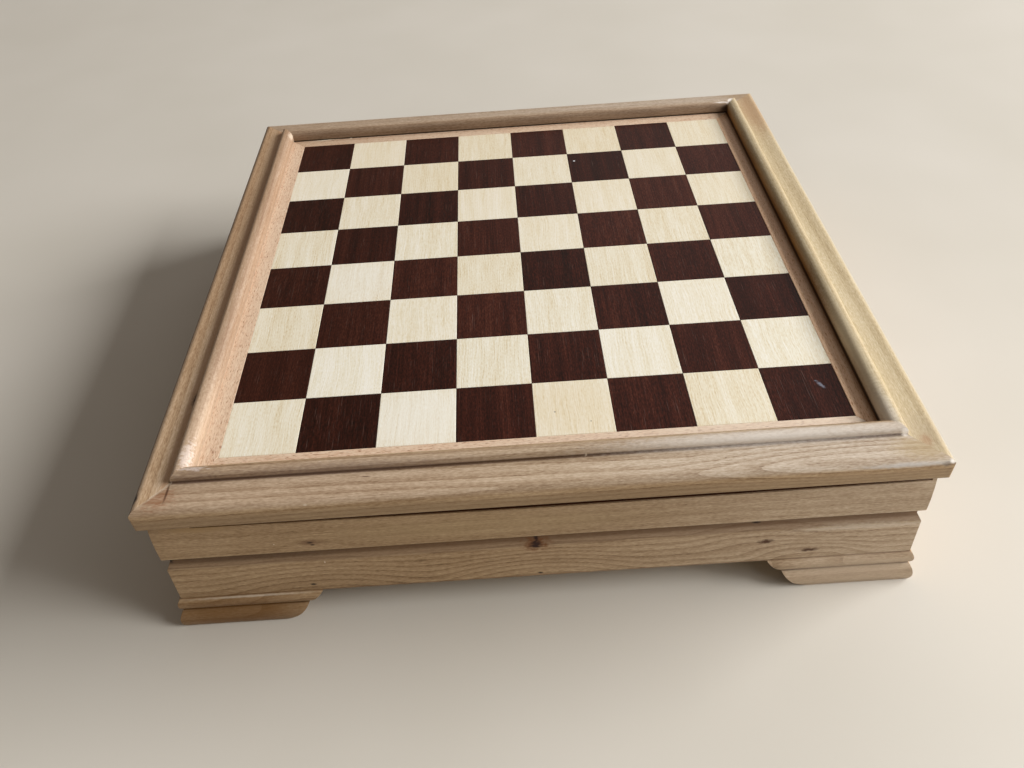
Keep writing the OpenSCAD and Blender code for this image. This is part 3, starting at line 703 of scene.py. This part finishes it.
def soften(name, width):
    """Eases a CAD node's edges by a cut of that width, with smooth arcs. The node's mesh is
    loose triangles, so it is joined and its flats are cleared before the cut."""
    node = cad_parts[name]
    for face in node.data.polygons:
        face.use_smooth = True
    node.modifiers.new("join_corners", "WELD").merge_threshold = 0.002 * MM
    flat = node.modifiers.new("clear_flats", "DECIMATE")
    flat.decimate_type = "DISSOLVE"
    flat.angle_limit = math.radians(0.5)
    edge = node.modifiers.new("eased_edge", "BEVEL")
    edge.width = width * MM
    edge.segments = 2
    edge.limit_method = "ANGLE"
    edge.angle_limit = math.radians(35)
    node.modifiers.new("even_shading", "WEIGHTED_NORMAL").keep_sharp = True


# ---------------------------------------------------------------- stage, in metres

LIT_PLACE = Vector((0, 0, 0.09))  # the lamps face the middle of the board


def floor():
    """A plain pale floor, painted, with faint clouds about 170 mm wide."""
    bpy.ops.mesh.primitive_plane_add(size=12)
    plane = bpy.context.object
    plane.name = "floor"
    material, tree = blank("floor_paint")
    cloud = add(tree, "TexNoise", {"Vector": in_mm(tree), "Scale": 0.006, "Detail": 2.0})
    colour = add(tree, "ValToRGB", {"Fac": cloud}, stops=[(0.3, "#CFC9BD"), (0.7, "#D4CEC3")])
    surface(tree, colour, 0.7, Specular_IOR_Level=0.2)
    plane.data.materials.append(material)


def room_light():
    """The dim, warm light that the room's walls give back."""
    world = bpy.data.worlds.new("room")
    bpy.context.scene.world = world
    world.use_nodes = True
    world.node_tree.nodes.clear()
    light = add(world.node_tree, "Background", {"Color": linear("#FFF0E2"), "Strength": 0.17})
    add(world.node_tree, "OutputWorld", {"Surface": light})


def panel(name, azimuth, elevation, away, wide, tall, level):
    """A soft panel of light that faces the board from that azimuth, counted from +X towards
    +Y, and that elevation, both in degrees. At level 1 it lights a white surface that faces
    it as bright as white."""
    lamp = bpy.data.lights.new(name, "AREA")
    lamp.shape = "RECTANGLE"
    lamp.size, lamp.size_y = wide, tall
    lamp.energy = level * (math.pi * away) ** 2
    holder = bpy.data.objects.new(name, lamp)
    bpy.context.collection.objects.link(holder)
    turn, rise = math.radians(azimuth), math.radians(elevation)
    out = Vector((math.cos(rise) * math.cos(turn), math.cos(rise) * math.sin(turn),
                  math.sin(rise)))
    holder.location = LIT_PLACE + away * out
    holder.rotation_euler = out.to_track_quat("Z", "Y").to_euler()


def camera():
    """Looks down over the front edge from a sitter's height, with the head a little tilted."""
    data = bpy.data.cameras.new("camera")
    data.sensor_width = 36.0
    data.lens = 29.5
    holder = bpy.data.objects.new("camera", data)
    bpy.context.collection.objects.link(holder)
    place = Vector((-7.84, -440.06, 399.89)) * MM
    aim = Vector((-10.4, -119.6, 92.0)) * MM
    turn = (aim - place).to_track_quat("-Z", "Y").to_matrix()
    tilt = Euler((0, 0, math.radians(-4.14))).to_matrix()
    holder.location = place
    holder.rotation_euler = (turn @ tilt).to_euler()
    bpy.context.scene.camera = holder


# ---------------------------------------------------------------- the scene

bpy.ops.object.select_all(action="DESELECT")
camera()
floor()
room_light()
panel("window", azimuth=2, elevation=29, away=6.0, wide=5.1, tall=2.4, level=1.66)
panel("wall", azimuth=66, elevation=36, away=4.0, wide=3.0, tall=2.4, level=0.1)
panel("fill", azimuth=-36, elevation=20, away=0.75, wide=0.4, tall=0.25, level=0.2)

front_rail()
back_rail()
left_rail()
right_rail()
front_frieze()
front_plinth()
back_mouldings()
side_mouldings()
maple_veneer()
mahogany_veneer()
beech_strips()
plywood(["board_core", "mitre_tongues", "bottom_panel",
         "drawer_left_bottom", "drawer_right_bottom"])
poplar_pieces()
timber("beech_turned_pin", ["cap_dowels"], "Z", BEECH, start=0, pith=(10, 10), rings_show=0.1)
felt(["drawer_left_felt", "drawer_right_felt"])
zinc_plate(["bottom_screws", "drawer_left_screws", "drawer_right_screws"])
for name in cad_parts:
    soften(name, CAP_EASED if name.startswith("cap_rail") else EASED)

view = bpy.context.scene.view_settings
view.view_transform = "Standard"
